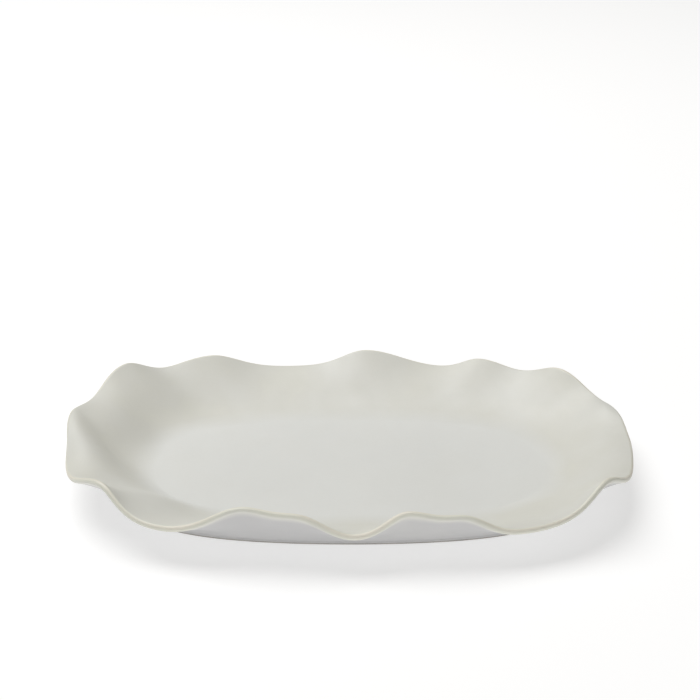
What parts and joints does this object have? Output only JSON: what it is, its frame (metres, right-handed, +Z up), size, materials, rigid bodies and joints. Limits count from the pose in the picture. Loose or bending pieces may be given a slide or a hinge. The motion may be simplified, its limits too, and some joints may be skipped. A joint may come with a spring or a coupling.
{
  "type": "serving platter",
  "caption": "Oval white china serving platter with a flat floor, a steep wall, a hand-ruffled rounded rim and a low foot ring.",
  "frame": {"origin": "middle of the platter's length and width, on the surface that its foot stands on", "axes": "+X along the platter's length, +Y across its width towards the side whose ruffles flare outwards, +Z up out of the well"},
  "size_m": [0.3962, 0.28, 0.0432],
  "materials": {
    "fired_clay": "matte",
    "white_glaze": "satin gloss",
    "thin_cream_glaze": "satin gloss"
  },
  "bodies": {
    "root": {"clay_body": "fired_clay", "foot_ring": "fired_clay", "well_glaze": "white_glaze", "lip_glaze": "thin_cream_glaze", "belly_glaze": "white_glaze", "base_glaze": "white_glaze"}
  },
  "joints": []
}
